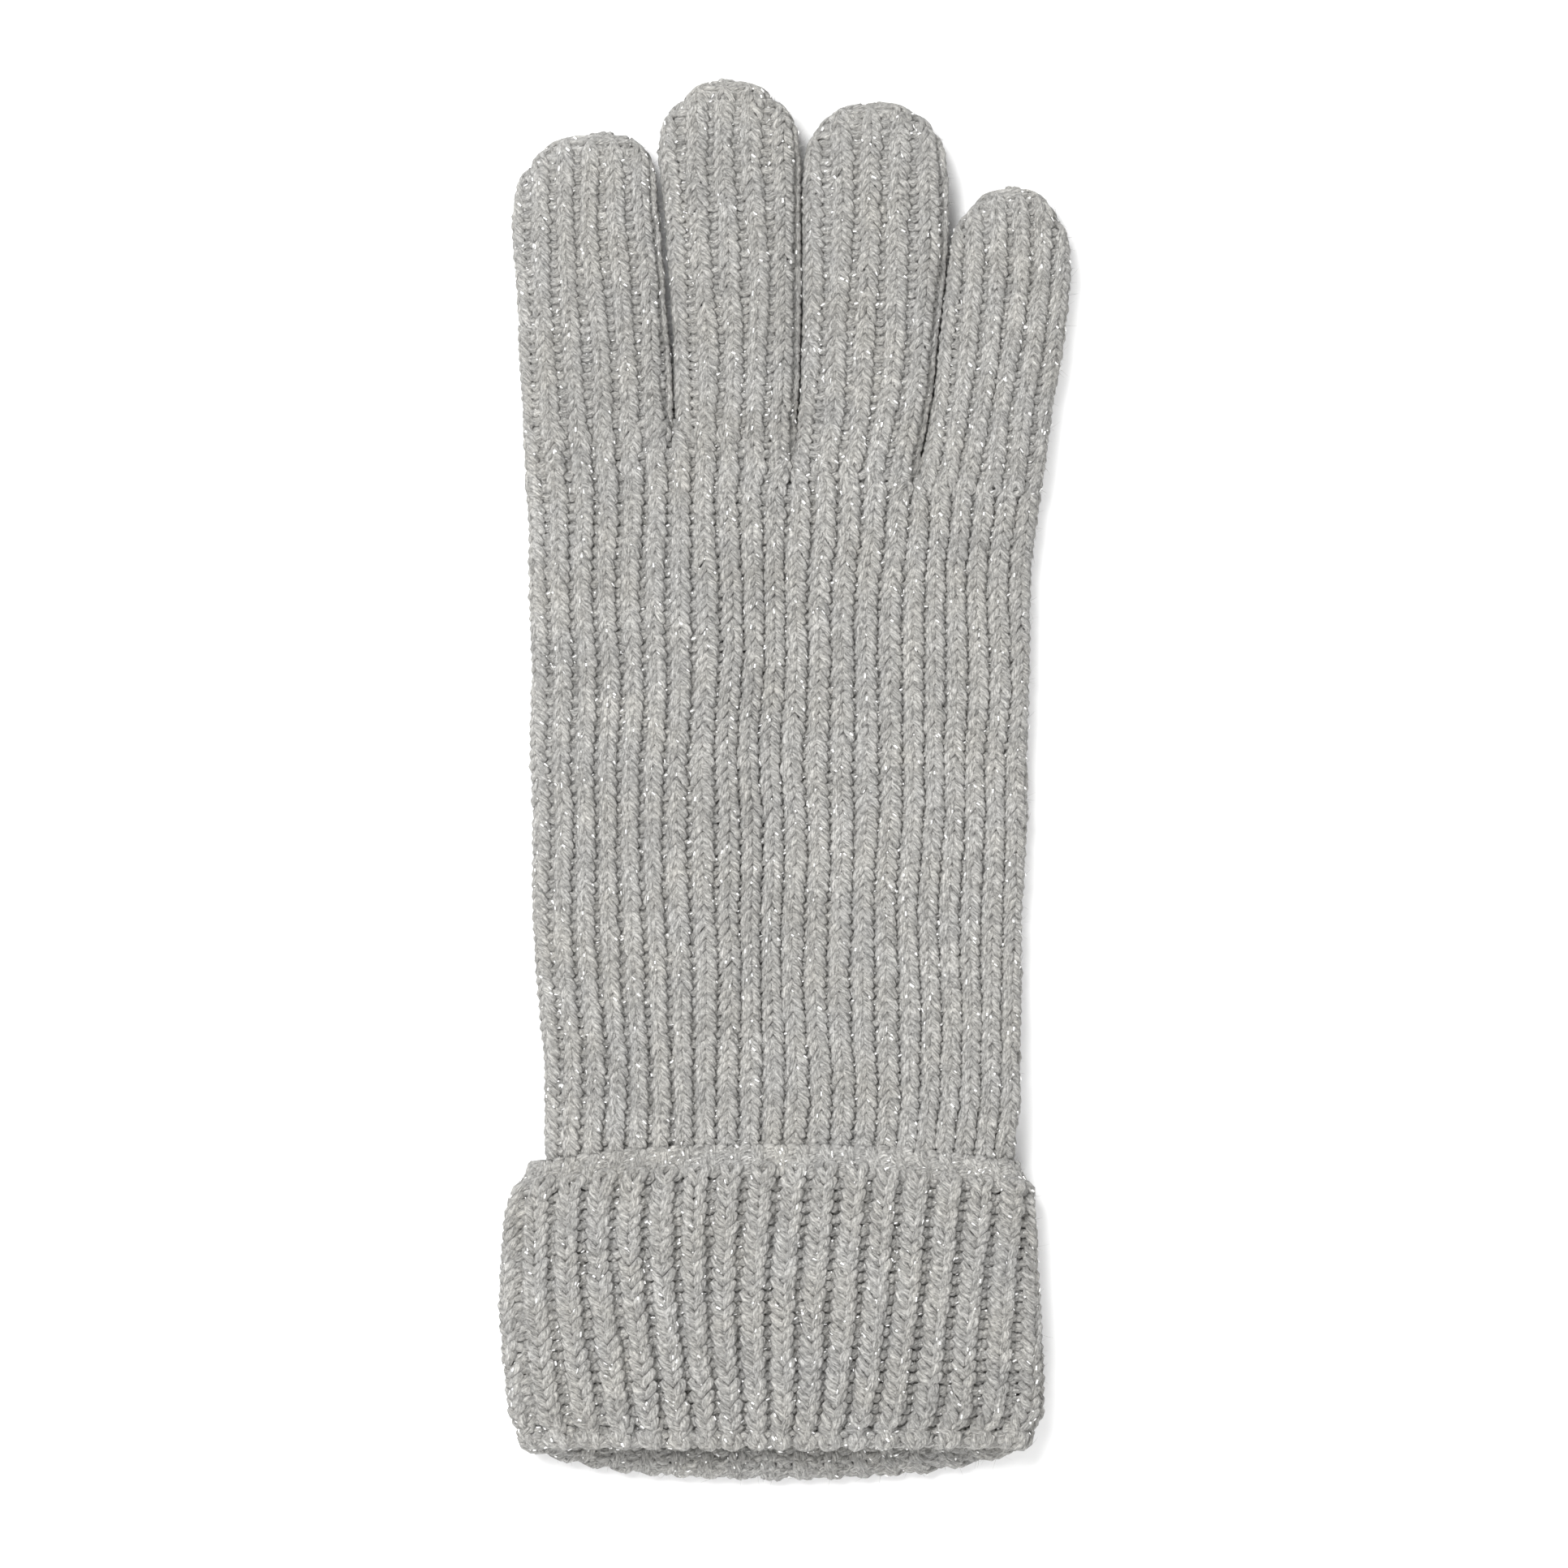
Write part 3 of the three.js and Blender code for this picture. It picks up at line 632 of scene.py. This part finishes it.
def fabric(name, tone=1.0):
    m = bpy.data.materials.new(name)
    m.use_nodes = True
    nt = m.node_tree
    nt.nodes.clear()
    N = nt.nodes.new
    link = nt.links.new

    def math_node(op, a, b=None, clamp=False):
        k = N("ShaderNodeMath")
        k.operation = op
        k.use_clamp = clamp
        for i, v in enumerate((a, b)):
            if v is None:
                continue
            if isinstance(v, (int, float)):
                k.inputs[i].default_value = v
            else:
                link(v, k.inputs[i])
        return k.outputs[0]

    out = N("ShaderNodeOutputMaterial")
    bsdf = N("ShaderNodeBsdfPrincipled")
    link(bsdf.outputs[0], out.inputs[0])
    uv = N("ShaderNodeUVMap")
    uv.uv_map = "Yarn"
    sep = N("ShaderNodeSeparateXYZ")
    link(uv.outputs[0], sep.inputs[0])
    along, around = sep.outputs[0], sep.outputs[1]
    # two plies twisted round each other, and fibres that follow the twist
    turn = math_node("ADD", math_node("MULTIPLY", along, 0.095), around)
    ply = math_node("SINE", math_node("MULTIPLY", turn, 2 * TAU))
    ang = math_node("MULTIPLY", turn, TAU)
    coords = N("ShaderNodeCombineXYZ")
    link(math_node("SINE", ang), coords.inputs[0])
    link(math_node("COSINE", ang), coords.inputs[1])
    link(math_node("MULTIPLY", along, 0.34), coords.inputs[2])

    def noise(vector, scale, detail, rough):
        k = N("ShaderNodeTexNoise")
        k.inputs["Scale"].default_value = scale
        k.inputs["Detail"].default_value = detail
        k.inputs["Roughness"].default_value = rough
        link(vector, k.inputs["Vector"])
        return k

    fibre = noise(coords.outputs[0], 2.3, 5.0, 0.78)
    flat = N("ShaderNodeCombineXYZ")
    link(math_node("MULTIPLY", along, 0.05), flat.inputs[0])
    melange = noise(flat.outputs[0], 1.0, 3.0, 0.65)
    tc = N("ShaderNodeTexCoord")
    cloud = noise(tc.outputs["Object"], 95.0, 3.0, 0.6)
    # rows worked from lighter and darker lengths of the same yarn
    stretch = N("ShaderNodeVectorMath")
    stretch.operation = "MULTIPLY"
    stretch.inputs[1].default_value = (26.0, 210.0, 26.0)
    link(tc.outputs["Object"], stretch.inputs[0])
    wide = noise(stretch.outputs[0], 1.0, 2.0, 0.55)
    grain = noise(tc.outputs["Object"], 1500.0, 3.0, 0.7)

    shade = N("ShaderNodeValToRGB")
    el = shade.color_ramp.elements
    el[0].position, el[0].color = 0.40, (0.108, 0.106, 0.100, 1)
    el[1].position, el[1].color = 0.60, (0.69, 0.678, 0.646, 1)
    e = el.new(0.5)
    e.color = (0.350, 0.343, 0.325, 1)
    mixed = math_node("ADD", math_node("ADD", math_node("MULTIPLY", fibre.outputs[0], 0.62), math_node("MULTIPLY", melange.outputs[0], 0.13)), math_node("MULTIPLY", grain.outputs[0], 0.25))
    link(mixed, shade.inputs[0])
    # warm and cool tints in patches
    tint = N("ShaderNodeValToRGB")
    te = tint.color_ramp.elements
    te[0].position, te[0].color = 0.34, (0.985, 0.99, 1.0, 1)
    te[1].position, te[1].color = 0.68, (1.0, 0.99, 0.965, 1)
    link(cloud.outputs[0], tint.inputs[0])
    mul = N("ShaderNodeMix")
    mul.data_type = "RGBA"
    mul.blend_type = "MULTIPLY"
    mul.inputs["Factor"].default_value = 1.0
    link(shade.outputs[0], mul.inputs["A"])
    link(tint.outputs[0], mul.inputs["B"])
    level = N("ShaderNodeMix")
    level.data_type = "RGBA"
    level.blend_type = "MULTIPLY"
    level.inputs["Factor"].default_value = 1.0
    link(mul.outputs["Result"], level.inputs["A"])
    gain = math_node("MULTIPLY", math_node("ADD", math_node("MULTIPLY", wide.outputs[0], 0.5), 0.75), tone)
    rgb = N("ShaderNodeCombineColor")
    for i in range(3):
        link(gain, rgb.inputs[i])
    link(rgb.outputs[0], level.inputs["B"])
    # the lining behind the stitches is darkened as painted shade in the gaps between them; the lurex flecks are real
    # thread, painted near white with a little metallic so that they stand for glints
    kind = N("ShaderNodeAttribute")
    kind.attribute_name = "kind"
    lurex_glint_mask = math_node("GREATER_THAN", kind.outputs["Fac"], 0.75)
    back = math_node("SUBTRACT", math_node("GREATER_THAN", kind.outputs["Fac"], 0.25), lurex_glint_mask)
    with_painted_lining_shade = N("ShaderNodeMix")
    with_painted_lining_shade.data_type = "RGBA"
    link(back, with_painted_lining_shade.inputs["Factor"])
    link(level.outputs["Result"], with_painted_lining_shade.inputs["A"])
    # painted shade: the lining, seen only in the gaps between stitches, is multiplied down to 0.8
    deep = N("ShaderNodeMix")
    deep.data_type = "RGBA"
    deep.blend_type = "MULTIPLY"
    deep.inputs["Factor"].default_value = 1.0
    link(level.outputs["Result"], deep.inputs["A"])
    deep.inputs["B"].default_value = (0.8, 0.8, 0.8, 1)
    link(deep.outputs["Result"], with_painted_lining_shade.inputs["B"])
    with_painted_glints = N("ShaderNodeMix")
    with_painted_glints.data_type = "RGBA"
    link(lurex_glint_mask, with_painted_glints.inputs["Factor"])
    link(with_painted_lining_shade.outputs["Result"], with_painted_glints.inputs["A"])
    # painted glint: the lurex flecks' near-white colour stands in for the sparkle of the metal thread
    painted_glint_white = N("ShaderNodeMix")
    painted_glint_white.data_type = "RGBA"
    link(cloud.outputs[0], painted_glint_white.inputs["Factor"])
    painted_glint_white.inputs["A"].default_value = (0.97, 0.97, 0.96, 1)
    painted_glint_white.inputs["B"].default_value = (1.0, 1.0, 0.98, 1)
    link(painted_glint_white.outputs["Result"], with_painted_glints.inputs["B"])
    link(with_painted_glints.outputs["Result"], bsdf.inputs["Base Color"])
    # only a little metallic: the flecks' brightness comes mostly from their painted white
    link(math_node("MULTIPLY", lurex_glint_mask, 0.15), bsdf.inputs["Metallic"])
    link(math_node("SUBTRACT", math_node("ADD", 0.80, math_node("MULTIPLY", fibre.outputs[0], 0.15)), math_node("MULTIPLY", lurex_glint_mask, 0.6)), bsdf.inputs["Roughness"])
    bsdf.inputs["Sheen Weight"].default_value = 0.35
    bsdf.inputs["Sheen Roughness"].default_value = 0.5
    bsdf.inputs["Specular IOR Level"].default_value = 0.25
    bump = N("ShaderNodeBump")
    bump.inputs["Strength"].default_value = 1.0
    bump.inputs["Distance"].default_value = 0.0006
    height = math_node("ADD", math_node("MULTIPLY", ply, 0.10), fibre.outputs[0])
    link(math_node("MULTIPLY", height, math_node("SUBTRACT", 1.0, lurex_glint_mask)), bump.inputs["Height"])
    link(bump.outputs[0], bsdf.inputs["Normal"])
    return m


hand_mat = fabric("wool_rib")
cuff_mat = fabric("wool_cuff", 0.955)

# ---------------------------------------------------------------- knitting it

HAND_LOOK = Look(2.05, radius=0.80, loop=1.0, rise=0.74, sink=0.92, wave=0.62, spread=0.31, purl_spread=0.16, glints=0.085, calm=0.4)
FINGER_LOOK = Look(1.80, radius=0.74, loop=1.02, rise=0.64, sink=0.55, wave=0.54, spread=0.30, purl_spread=0.15, glints=0.085, calm=0.4)
CUFF_LOOK = Look(2.07, radius=0.92, loop=0.90, rise=0.95, sink=2.0, wave=0.78, spread=0.285, purl_spread=0.14, glints=0.10, calm=0.4)
MOUTH_LOOK = Look(1.5, radius=0.86, loop=0.6, rise=0.10, sink=0.12, wave=0.28, spread=0.12, purl_spread=0.12, glints=0.08)
THUMB_LOOK = Look(1.85, radius=0.74, loop=1.0, rise=0.3, sink=0.35, wave=0.38, spread=0.31, glints=0.08)
FINGER_SHARE = {"index": 0.60, "middle": 0.66, "ring": 0.66, "little": 0.66}


def palm_edges(q):
    """Ribs across the hand: as in the fingers at the top, then close and deep right of the forefinger's side."""
    u = (np.arange(88) // 2 + 0.5) / 44
    top = np.where(u < 12 / 88, 0.60, 0.66)
    low = np.interp(u, [0, 0.12, 0.2, 0.48, 0.56, 0.95, 1], [0.62, 0.63, 0.77, 0.77, 0.68, 0.68, 0.62])
    f = step((q + 58) / 14)
    return wales(88, top * (1 - f) + low * f)[0]


# the hand, in bands of whole rows
hand = hand_tube()
h_kinds = wales(88, 0.6)[1]
rows = np.arange(-56.2, 84.0, HAND_LOOK.pitch)
bands = np.array_split(rows, 10)
for i, band in enumerate(bands):
    c = Cloth()
    knit(c, hand, band, palm_edges, h_kinds, HAND_LOOK, seed=1.3)
    q0 = band[0] - 1.4 if i else -59.5
    q1 = (bands[i + 1][0] - 1.4) if i + 1 < len(bands) else band[-1] + 2
    lining(c, hand, q0, q1 + 0.2, depth=0.9, cols=180)
    ob = c.build(f"hand_rib_{i + 1}", hand_mat)
    if band[-1] > 46:
        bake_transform(ob)
    else:
        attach(ob, "hand")

# where two or three fingers still run together below their crotches
for name, lf, rf, mids, y0, y1, count in (
    ("crotch_outer", A_OUT, D_MID, [B_MID, C_MID], 60.3, 58.25, 68),
):
    t = merged_tube(lf, rf, y0, y1, mids, [0, 12, 22, 32, 34], ((B_MID, 68), (C_MID, 61.5)))
    e, k = wales(count, 0.64)
    c = Cloth()
    knit(c, t, np.array([-60.3, -58.25, -56.7]), e, k, HAND_LOOK, seed=0.4)
    lining(c, t, -y0 - 0.8, -y1 + 1.5, cols=150)
    ob = c.build(name, hand_mat)
    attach(ob, "hand")
t = merged_tube(A_OUT, C_MID, 66.6, 60.4, [B_MID], [0, 12, 22, 24], ((B_MID, 68),))
e, k = wales(48, 0.63)
c = Cloth()
knit(c, t, np.array([-66.45, -64.4, -62.35, -60.8]), e, k, HAND_LOOK, seed=0.9)
lining(c, t, -67.2, -60.6, cols=120)
ob = c.build("crotch_first", hand_mat)
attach(ob, "hand")

# the four fingers
INDEX_R = lambda y: B_MID(y) - 0.7 * step((y - 72) / 20)
FINGERS = (
    # name, left, right, tip y, rounding starts, apex x, squareness, crotch y, knuckle, middle fold, first wale
    ("index", A_OUT, INDEX_R, 124.3, 108.0, -35.8, (2.15, 3.2), 68.3, 75.5, 97, 1),
    ("middle", B_MID, C_MID, 134.5, 120.0, -11.7, (2.0, 2.05), 68.3, 75.5, 102, -1),
    ("ring", C_MID, D_MID, 130.0, 115.6, 16.9, (2.2, 2.2), 62.3, 69.5, 99, 1),
    ("little", D_MID, E_OUT, 114.0, 98.2, 43.4, (2.0, 2.05), 58.25, 67, 92, -1),
)
for name, lf, rf, tip, start, apex, sq, low, knuckle, fold, first in FINGERS:
    tip = tip - 0.7
    tube, base = finger_tube(lf, rf, tip, start, apex, sq, low=low - 6, inner=(name != "index", name != "little"))
    edges, kinds = wales(28, FINGER_SHARE[name])
    used = tip_users(tube, base, edges, lf, rf, tip, start, apex, sq)
    rows = np.append(-np.arange(low, tip - 2.0, FINGER_LOOK.pitch)[::-1], -low + 1.5)
    cut = -(knuckle + fold) / 2
    for part, sel in (("upper", rows[rows < cut]), ("lower", rows[rows >= cut])):
        c = Cloth()
        knit(c, tube, sel, edges, kinds, FINGER_LOOK, used, seed=len(name) + 0.7, amp=lambda q: 0.45 + 0.55 * step((q + tip - 1) / 9))
        a = -tip + 1.2 if part == "upper" else cut - 0.8
        b = cut + 0.8 if part == "upper" else -low + 1.5
        lining(c, tube, a, b, depth=0.72, cols=72, end=-tip + 0.25 if part == "upper" else None)
        if part == "upper":
            gather(c, tube, tip, ((1.7, 0.8), (0.8, 0.7), (0.2, 0.55)), start, FINGER_LOOK.pitch)
        ob = c.build(f"{name}_{part}_rib", hand_mat)
        x = (float(lf(knuckle)) + float(rf(knuckle))) / 2 * MM
        if part == "lower":
            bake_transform(ob)
        else:
            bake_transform(ob)

# the thumb, tucked under the palm; towards the heel of the hand it flattens with the room there is
def thumb_thick(x, y):
    return np.clip(lift(THUMB_X + 0 * x, y) - 0.3, 3.7, THUMB_THICK)


tl = lambda y: THUMB_X - THUMB_HALF + 6.0 * step((-38.0 - y) / 15)
tr = lambda y: THUMB_X + THUMB_HALF - 2.0 * step((-38.0 - y) / 15)
tube, base = finger_tube(tl, tr, THUMB_TIP, 24.5, THUMB_X, (2, 2), thick0=THUMB_THICK, low=-53, p=3.2, p_low=3.2, thick_at=thumb_thick)
edges, kinds = wales(20, 0.56)
used = tip_users(tube, base, edges, tl, tr, THUMB_TIP, 24.5, THUMB_X, (2, 2))
rows = np.arange(-THUMB_TIP + 2.6, 50.0, THUMB_LOOK.pitch)
for part, lo, hi in (("end", -60, -3.0), ("base", -3.0, 60)):
    sel = rows[(rows >= lo) & (rows < hi)]
    c = Cloth()
    knit(c, tube, sel, edges, kinds, THUMB_LOOK, used, seed=5.5)
    end = -THUMB_TIP + 0.25 if part == "end" else None
    lining(c, tube, max(lo, -THUMB_TIP + 1.2), min(hi, 50.0), depth=0.8, cols=72, end=end)
    if part == "end":
        gather(c, tube, THUMB_TIP, ((1.5, 0.7), (0.7, 0.62), (0.2, 0.5)), 24.5, THUMB_LOOK.pitch)
    ob = c.build(f"thumb_{part}_rib", hand_mat)
    if part == "end":
        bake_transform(ob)
    else:
        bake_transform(ob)

# the cuff: in at the mouth, round the fold, up the outside
cuff, q_fold, q_top = cuff_tube()
c_edges, c_kinds = wales(70, 0.68, 1)


def cuff_twist(u, q):
    """The ribs run in towards the middle of the fold, most on the right."""
    t = np.clip((q - q_fold) / (q_top - q_fold), 0, 1)
    out = 0
    for centre, width, turn in ((0.10, 0.15, 0.014), (0.41, 0.26, -0.036)):
        d = np.abs((u - centre + 0.5) % 1 - 0.5)
        out = out + turn * np.cos(math.pi / 2 * np.minimum(d / width, 1)) ** 2
    return out * ((1 - t) ** 1.1 - 0.2)


inside = np.arange(1.6, q_fold - 3.6, MOUTH_LOOK.pitch)
rows = np.arange(inside[-1] + 1.8, q_top - 4.6, CUFF_LOOK.pitch)
m_edges, m_kinds = wales(64, 0.5)
bands = [inside] + list(np.array_split(rows, 3))
for i, band in enumerate(bands):
    c = Cloth()
    if i == 0:
        knit(c, cuff, band, m_edges, m_kinds, MOUTH_LOOK, seed=2.2)
    else:
        knit(c, cuff, band, c_edges, c_kinds, CUFF_LOOK, seed=2.2, loose=0.6, twist=cuff_twist, amp=lambda q: 0.45 + 0.55 * step((q - q_fold + 2) / 6))
    lining(c, cuff, band[0] - 1.5, band[-1] + 1.5, depth=0.8 if i == 0 else 1.75, cols=180)
    ob = c.build(f"cuff_rib_{i + 1}", cuff_mat)
    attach(ob, "cuff")

# the finished edge: a few slack rows that lie along the edge
EDGE_LOOK = Look(1.5, radius=0.82, loop=0.55, rise=0.12, sink=0.12, wave=0.25, spread=0.12, purl_spread=0.12, glints=0.10)
c = Cloth()
e, k = wales(88, 0.5)
knit(c, cuff, np.array([q_top - 4.3, q_top - 3.1, q_top - 2.0, q_top - 0.9, q_top]), e, k, EDGE_LOOK, seed=3.1)
lining(c, cuff, q_top - 5.5, q_top, depth=1.0, cols=180)
ob = c.build("cuff_edge_knit", cuff_mat)
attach(ob, "cuff")

# every plain solid is stood for by the knitting over it
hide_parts("hand_shell")
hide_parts("wrist_rib")
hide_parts("thumb_gusset", "thumb_root")
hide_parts("thumb_tip")
for name in ("index", "middle", "ring", "little"):
    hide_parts(f"{name}_base", f"{name}_lower")
    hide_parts(f"{name}_tip")
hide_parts("cuff_turnup")
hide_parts("cuff_fold")
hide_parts("cuff_edge")

# ---------------------------------------------------------------- floor, light, camera


def plain(name, color, rough=0.9):
    m = bpy.data.materials.new(name)
    m.use_nodes = True
    b = m.node_tree.nodes["Principled BSDF"]
    b.inputs["Base Color"].default_value = (*color, 1)
    b.inputs["Roughness"].default_value = rough
    b.inputs["Specular IOR Level"].default_value = 0.0
    return m


me = bpy.data.meshes.new("floor")
S = 3.0
me.from_pydata([(-S, -S, -0.0006), (S, -S, -0.0006), (S, S, -0.0006), (-S, S, -0.0006)], [], [(0, 1, 2, 3)])
floor = bpy.data.objects.new("floor", me)
me.materials.append(plain("pale_floor", (0.95, 0.95, 0.95)))
bpy.context.scene.collection.objects.link(floor)

scene = bpy.context.scene
scene.view_settings.view_transform = "Standard"
scene.view_settings.look = "None"
world = bpy.data.worlds.new("studio")
world.use_nodes = True
world.node_tree.nodes["Background"].inputs[0].default_value = (1.0, 1.0, 1.0, 1)
world.node_tree.nodes["Background"].inputs[1].default_value = 0.54
scene.world = world


def area(name, place, size, watts, aim=(0, 0, 0)):
    d = bpy.data.lights.new(name, "AREA")
    d.shape = "RECTANGLE"
    d.size = d.size_y = size
    d.energy = watts
    o = bpy.data.objects.new(name, d)
    o.location = place
    v = [a - b for a, b in zip(aim, place)]
    from mathutils import Vector
    o.rotation_euler = Vector(v).to_track_quat("-Z", "Y").to_euler()
    scene.collection.objects.link(o)
    return o


area("key", (-0.65, 0.75, 2.1), 0.9, 62.0)
area("fill", (0.25, -1.25, 1.7), 1.2, 24.0)

cam = bpy.data.cameras.new("camera")
cam.type = "PERSP"
height, seen, level = 3.0, 0.2995, 0.012
cam.sensor_width = cam.sensor_height = 36.0
cam.lens = 36.0 * (height - level) / seen
cam.clip_end = 20
camera = bpy.data.objects.new("camera", cam)
camera.location = (-0.0005, -0.0007, height)
camera.rotation_euler = (0, 0, 0)
scene.collection.objects.link(camera)
scene.camera = camera
